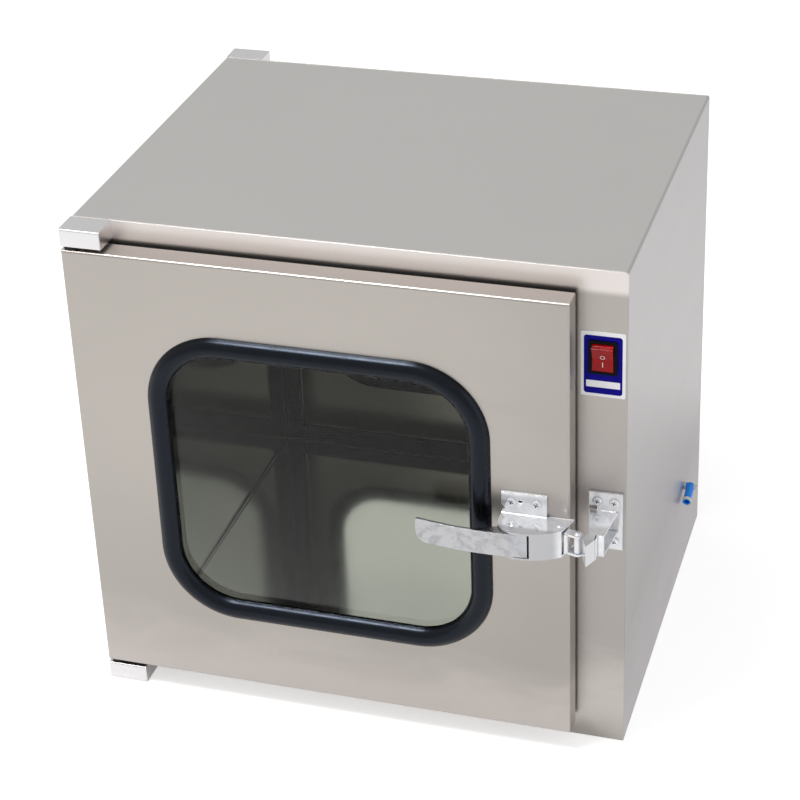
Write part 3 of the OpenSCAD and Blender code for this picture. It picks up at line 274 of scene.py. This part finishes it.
FINISH = {
    # Painted light: the casing's right side takes a darker, pinkish copy of the grey, and the foot
    # of the side is painted lighter towards the bottom.
    "case": stainless("case_stainless", 1.0, GREY, (1, 30, 30), 0.36, dark=0.985,
                      painted_shades=(("X", 0.2568, 0.2590, 1.0, SIDE_SHADE),
                              ("Z", 0.14, 0.0, 0.75, (0.80, 0.765, 0.775)))),
    # Painted light and shade on the front: darker from the middle down, lighter again towards the
    # bottom, and a lighter band at the height of the door's top.
    "face": stainless("face_stainless", 0.93, WARM, (30, 30, 1), 0.32,
                      painted_shades=(("Z", 0.42, 0.30, 0.8, (0.44, 0.41, 0.39)),
                              ("Z", 0.12, 0.04, 0.9, (0.64, 0.60, 0.565)),
                              ("Z", DOOR_TOP - 0.004, DOOR_TOP + 0.004, 1.0, (0.86, 0.80, 0.77))),
                      edge=0.0012),
    # Painted light and shade on the door: darker towards its right side and below the middle,
    # lighter again towards the bottom, and a lighter top face.
    "door": stainless("door_stainless", 1.0, WARM, (1, 30, 30), 0.33, dark=0.97,
                      painted_shades=(("X", 0.10, 0.21, 0.26, (0.36, 0.33, 0.32)),
                              ("Z", 0.30, 0.13, 0.26, (0.34, 0.31, 0.30)),
                              ("Z", 0.11, 0.03, 0.70, (0.64, 0.59, 0.56)),
                              ("Z", DOOR_TOP - 0.0005, DOOR_TOP - 0.0003, 1.0,
                               (0.80, 0.75, 0.71))),
                      edge=0.0009),
    # Painted shade: the chamber's walls above the floor are near black, while the floor keeps the
    # bright steel.
    "inside": stainless("chamber_stainless", 1.0, FLOOR, (30, 1, 30), 0.11, dark=0.85, relief=0.02,
                        edge=0.0002,
                        painted_shades=(("Z", CHAMBER_FLOOR + 0.0001, CHAMBER_FLOOR + 0.0003, 1.0,
                                 CHAMBER_SHADE),)),
    "bracket": stainless("bracket_stainless", 1.0, (0.90, 0.885, 0.89), (1, 30, 30), 0.28,
                         edge=0.0013),
    "frame_in": stainless("inner_frame_stainless", 0.22, GREY, (1, 30, 30), 0.30),
    # Painted shade: the outer faces of the latch housings and strikes are darkened.
    "zinc": zinc("zinc_plate", 1.24, 0.13, 0.42, ZINC_CAST, front_shade=0.58, metal=0.28,
                 plate=0.2306),
    "zinc_strike": zinc("zinc_strike", 1.24, 0.13, 0.42, ZINC_CAST, front_shade=0.80, metal=0.28,
                        plate=0.2040),
    "zinc_lever": zinc("zinc_lever", 0.70, 0.16, 0.65),
    "zinc_bright": zinc("zinc_bright", 1.15, 0.14, 0.2, metal=0.6),
    "zinc_dull": zinc("zinc_dull", 0.72, 0.34),
    "seal": rubber("seal_rubber", 0.001, 0.24, 0.36),
    "gasket": rubber("gasket_rubber", 0.003, 0.7, 0.10, cloud=40),
    "pane": glass("window_pane", (0.91, 0.92, 0.90), 0.013),
    "tube": glass("lamp_quartz", (0.90, 0.92, 0.95), 0.12),
    "white": plastic("white_plastic", (0.78, 0.78, 0.76), 0.38),
    "nylon": plastic("bush_nylon", (0.020, 0.020, 0.022), 0.45, gloss=0.2),
    "black": plastic("black_plastic", (0.004, 0.004, 0.005), 0.40, gloss=0.08),
    "label": plastic("label_plate", (0.98, 0.98, 1.0), 0.25, speck=0.01, gloss=0.5),
    "label_blue": plastic("label_blue_print", (0.006, 0.003, 0.28), 0.30, speck=0.1, gloss=0.06),
    "mark_white": plastic("mark_white", (0.85, 0.80, 0.80), 0.3),
    "red": plastic("rocker_red", (0.38, 0.001, 0.003), 0.12, gloss=0.22),
    "blue": plastic("port_blue", (0.001, 0.27, 0.95), 0.16, coat=0.6, gloss=0.2),
    "tin": zinc("tinned_brass", 0.85, 0.3),
    "bright": zinc("bright_aluminium", 1.1, 0.12),
}

BY_NODE = {
    "outer_casing": "case", "front_frame": "face", "rear_frame": "face", "base_panel": "case",
    "chamber_liner": "inside", "hinge_pins": "zinc", "strike_screws": "zinc_bright",
    "strike_backing_plates": "zinc_dull", "switch_label_plate": "label", "switch_housing": "black",
    "switch_rocker": "red", "switch_terminals": "tin", "uv_lamp_tube": "tube",
    "uv_lamp_caps": "bright", "lamp_holders": "white", "lamp_reflector": "bright",
    "lamp_ballast": "white", "side_port_bolt": "bright", "side_port_elbow": "blue",
    "side_port_collar": "white", "cable_gland": "black", "cable_gland_nut": "black",
}
for end in ("front", "rear"):
    for level in ("top", "bottom"):
        BY_NODE[f"{end}_{level}_hinge_bracket"] = "bracket"
    for part, finish in (
        ("door_skin", "door"), ("door_inner_frame", "frame_in"), ("door_stiffeners", "zinc_dull"),
        ("hinge_bushes", "nylon"), ("door_gasket", "gasket"), ("window_seal", "seal"),
        ("window_glass", "pane"), ("latch_housing", "zinc"), ("latch_screws", "zinc_bright"),
        ("latch_pins", "zinc_bright"), ("lever", "zinc_lever"), ("link", "zinc_dull"),
        ("link_pin", "zinc_bright"), ("tongue", "zinc_bright"), ("roller_pin", "zinc_bright"),
        ("roller", "zinc_bright"), ("strike", "zinc_strike"),
    ):
        BY_NODE[f"{end}_{part}"] = finish

for name, obj in nodes.items():
    mat = FINISH[BY_NODE[name]]
    if not obj.material_slots:
        obj.data.materials.append(mat)
    for slot in obj.material_slots:
        slot.material = mat


# ---------- printed label, rocker marks ----------

def rounded_loop(x0, y0, x1, y1, r, steps=8):
    """Corner points of a rounded rectangle, counter-clockwise."""
    pts = []
    corners = ((x1 - r, y0 + r, -90), (x1 - r, y1 - r, 0),
               (x0 + r, y1 - r, 90), (x0 + r, y0 + r, 180))
    for cx, cy, start in corners:
        for i in range(steps + 1):
            a = math.radians(start + 90 * i / steps)
            pts.append((cx + r * math.cos(a), cy + r * math.sin(a)))
    return pts


def ring_loop(r, count=40):
    """Points of a circle about the origin."""
    steps = [2 * math.pi * i / count for i in range(count)]
    return [(r * math.cos(a), r * math.sin(a)) for a in steps]


def flat_piece(name, loops, place, thick, finish, body):
    """A thin plate with holes: the first loop is its outline and the others are its holes.

    place is (origin, right, up) in metres; the plate grows along right x up."""
    curve = bpy.data.curves.new(name, "CURVE")
    curve.dimensions = "2D"
    curve.fill_mode = "BOTH"
    curve.extrude = thick / 2
    for loop in loops:
        spline = curve.splines.new("POLY")
        spline.points.add(len(loop) - 1)
        for point, (x, y) in zip(spline.points, loop):
            point.co = (x, y, 0.0, 1.0)
        spline.use_cyclic_u = True
    made = bpy.data.objects.new(name + "_curve", curve)
    bpy.context.scene.collection.objects.link(made)
    bpy.context.view_layer.update()
    depsgraph = bpy.context.evaluated_depsgraph_get()
    mesh = bpy.data.meshes.new_from_object(made.evaluated_get(depsgraph))
    bpy.data.objects.remove(made)
    origin, right, up = (Vector(v) for v in place)
    out = right.cross(up)
    turn = Matrix((right, up, out)).transposed().to_4x4()
    mesh.transform(Matrix.Translation(origin + out * thick / 2) @ turn)
    mesh.name = name
    mesh.materials.clear()
    mesh.materials.append(FINISH[finish])
    obj = bpy.data.objects.new(name, mesh)
    bpy.context.scene.collection.objects.link(obj)
    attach(obj, body)


LABEL_LO, LABEL_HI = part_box("switch_label_plate")
BEZEL_LO, BEZEL_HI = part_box("switch_housing")
LABEL_X = (LABEL_LO.x + LABEL_HI.x) / 2
BEZEL_Z = (BEZEL_LO.z + BEZEL_HI.z) / 2
PRINT_THICK = 0.12 * MM
RIGHT, UP = (1.0, 0.0, 0.0), (0.0, 0.0, 1.0)
PRINT_PLACE = ((LABEL_X, LABEL_LO.y, 0.0), RIGHT, UP)
BODY_HALF_W, BODY_HALF_H = 11.7 * MM, 15.9 * MM          # the hole for the switch's body
STRIP_HALF_W, STRIP_LOW, STRIP_HIGH = 15.2 * MM, 9.2 * MM, 16.0 * MM     # the bare text strip
flat_piece("label_blue_field", [
    rounded_loop(-17.3 * MM, LABEL_LO.z + 3.0 * MM, 17.2 * MM, LABEL_HI.z - 3.6 * MM, 2.6 * MM),
    rounded_loop(-BODY_HALF_W, BEZEL_Z - BODY_HALF_H, BODY_HALF_W, BEZEL_Z + BODY_HALF_H,
                 0.3 * MM, 2),
    rounded_loop(-STRIP_HALF_W, LABEL_LO.z + STRIP_LOW, STRIP_HALF_W, LABEL_LO.z + STRIP_HIGH,
                 0.4 * MM, 3),
], PRINT_PLACE, PRINT_THICK, "label_blue", "cabinet")

# The rocker's faces: the pressed lower half lies level with the panel, the upper half stands out.
FACE_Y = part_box("front_frame")[0].y
ROCKER_TILT, ROCKER_FACE, ROCKER_IN = math.radians(9.0), 4.5 * MM, 1.0 * MM
raised = 2 * ROCKER_TILT
upper_up = Vector((0.0, -math.sin(raised), math.cos(raised)))
upper_out = Vector((0.0, -math.cos(raised), -math.sin(raised)))
pivot = Vector((LABEL_X, FACE_Y + ROCKER_IN, BEZEL_Z))
upper_place = (pivot + upper_out * ROCKER_FACE + upper_up * 3.0 * MM, RIGHT, upper_up)
lower_place = (pivot + Vector((0.0, -ROCKER_FACE, -6.2 * MM)), RIGHT, UP)
MARK_THICK = 0.06 * MM
flat_piece("rocker_off_mark", [ring_loop(2.2 * MM), ring_loop(1.6 * MM)],
           upper_place, MARK_THICK, "mark_white", "rocker")
flat_piece("rocker_on_mark",
           [rounded_loop(-0.4 * MM, -2.4 * MM, 0.4 * MM, 2.4 * MM, 0.3 * MM, 3)],
           lower_place, MARK_THICK, "mark_white", "rocker")

# ---------- stage, light and camera ----------

def stage_material(name, colour, seen_glow, mirror_glow):
    """A matt floor that shows white to the camera and in the glass, and keeps its soft shadow."""
    t = Tree(name)
    t.set(Base_Color=colour, Roughness=0.9, Specular_IOR_Level=0.0)
    glow = t.node("ShaderNodeEmission")
    glow.inputs["Color"].default_value = (1.0, 1.0, 1.0, 1.0)
    path = t.node("ShaderNodeLightPath")
    seen = t.math("MULTIPLY", path.outputs["Is Camera Ray"], seen_glow)
    t.link(t.math("ADD", seen, t.math("MULTIPLY", path.outputs["Is Glossy Ray"], mirror_glow)),
           glow.inputs["Strength"])
    both = t.node("ShaderNodeAddShader")
    t.link(t.bsdf.outputs[0], both.inputs[0])
    t.link(glow.outputs[0], both.inputs[1])
    t.link(both.outputs[0], t.nt.nodes["Material Output"].inputs["Surface"])
    return t.mat


def plane(name, size, z):
    """A square plane about the Z axis; size is half its side."""
    bm = bmesh.new()
    bmesh.ops.create_grid(bm, x_segments=1, y_segments=1, size=size)
    mesh = bpy.data.meshes.new(name)
    bm.to_mesh(mesh)
    bm.free()
    obj = bpy.data.objects.new(name, mesh)
    bpy.context.scene.collection.objects.link(obj)
    obj.location.z = z
    return obj


FLOOR_HALF = 14.0
FLOOR_DROP = 0.0004     # the floor lies just under the base, so that the two faces stay apart
floor = plane("floor", FLOOR_HALF, -FLOOR_DROP)
floor.data.materials.append(stage_material("floor_white", (0.90, 0.90, 0.90), 0.50, 0.10))

ROOM_GLOW = 0.60        # what lights the part; the camera sees the same world as plain white
world = bpy.data.worlds.new("studio")
bpy.context.scene.world = world
world.use_nodes = True
wnt = world.node_tree
background = wnt.nodes["Background"]
background.inputs["Color"].default_value = (1.0, 1.0, 1.0, 1.0)
background.inputs["Strength"].default_value = ROOM_GLOW
seen = wnt.nodes.new("ShaderNodeBackground")
seen.inputs["Color"].default_value = (1.0, 1.0, 1.0, 1.0)
seen.inputs["Strength"].default_value = 1.0
path = wnt.nodes.new("ShaderNodeLightPath")
pick = wnt.nodes.new("ShaderNodeMixShader")
wnt.links.new(path.outputs["Is Camera Ray"], pick.inputs["Fac"])
wnt.links.new(background.outputs[0], pick.inputs[1])
wnt.links.new(seen.outputs[0], pick.inputs[2])
wnt.links.new(pick.outputs[0], wnt.nodes["World Output"].inputs["Surface"])


def softbox(name, at, target, size, power):
    """A white rectangular lamp that faces target; size is in metres and power in watts."""
    light = bpy.data.lights.new(name, "AREA")
    light.shape = "RECTANGLE"
    light.size, light.size_y = size
    light.energy = power
    obj = bpy.data.objects.new(name, light)
    bpy.context.scene.collection.objects.link(obj)
    obj.location = at
    obj.rotation_mode = "QUATERNION"
    obj.rotation_quaternion = (Vector(target) - Vector(at)).to_track_quat("-Z", "Y")


MIDDLE = (0.0, 0.0, 0.25)
softbox("key_top", (-0.74, -0.78, 2.9), MIDDLE, (0.8, 0.8), 42)
softbox("right_fill", (2.4, -0.5, 0.9), MIDDLE, (1.6, 1.8), 5)

# The camera was fitted to the cabinet's corners in the photo.
PIXELS = 800
FOCAL_PX = 2221.5
CENTRE_U = 396.1
CENTRE_V = 286.45
SENSOR = 36.0
CAMERA_AT = (0.59103, -1.86236, 1.37013)
CAMERA_RIGHT = (0.956109, 0.290668, -0.036990)
CAMERA_DOWN = (0.102447, -0.449885, -0.887191)
CAMERA_FORWARD = (-0.274519, 0.844462, -0.459917)

camera_data = bpy.data.cameras.new("camera")
camera = bpy.data.objects.new("camera", camera_data)
bpy.context.scene.collection.objects.link(camera)
bpy.context.scene.camera = camera
camera_data.sensor_width = SENSOR
camera_data.lens = SENSOR * FOCAL_PX / PIXELS
camera_data.shift_x = (PIXELS / 2 - CENTRE_U) / PIXELS
camera_data.shift_y = (CENTRE_V - PIXELS / 2) / PIXELS
camera_data.dof.use_dof = False
camera_data.clip_start, camera_data.clip_end = 0.05, 60.0
axes = Matrix((CAMERA_RIGHT, [-v for v in CAMERA_DOWN], [-v for v in CAMERA_FORWARD])).transposed()
camera.rotation_mode = "QUATERNION"
camera.rotation_quaternion = axes.to_quaternion()
camera.location = CAMERA_AT
bpy.context.scene.view_settings.view_transform = "Standard"
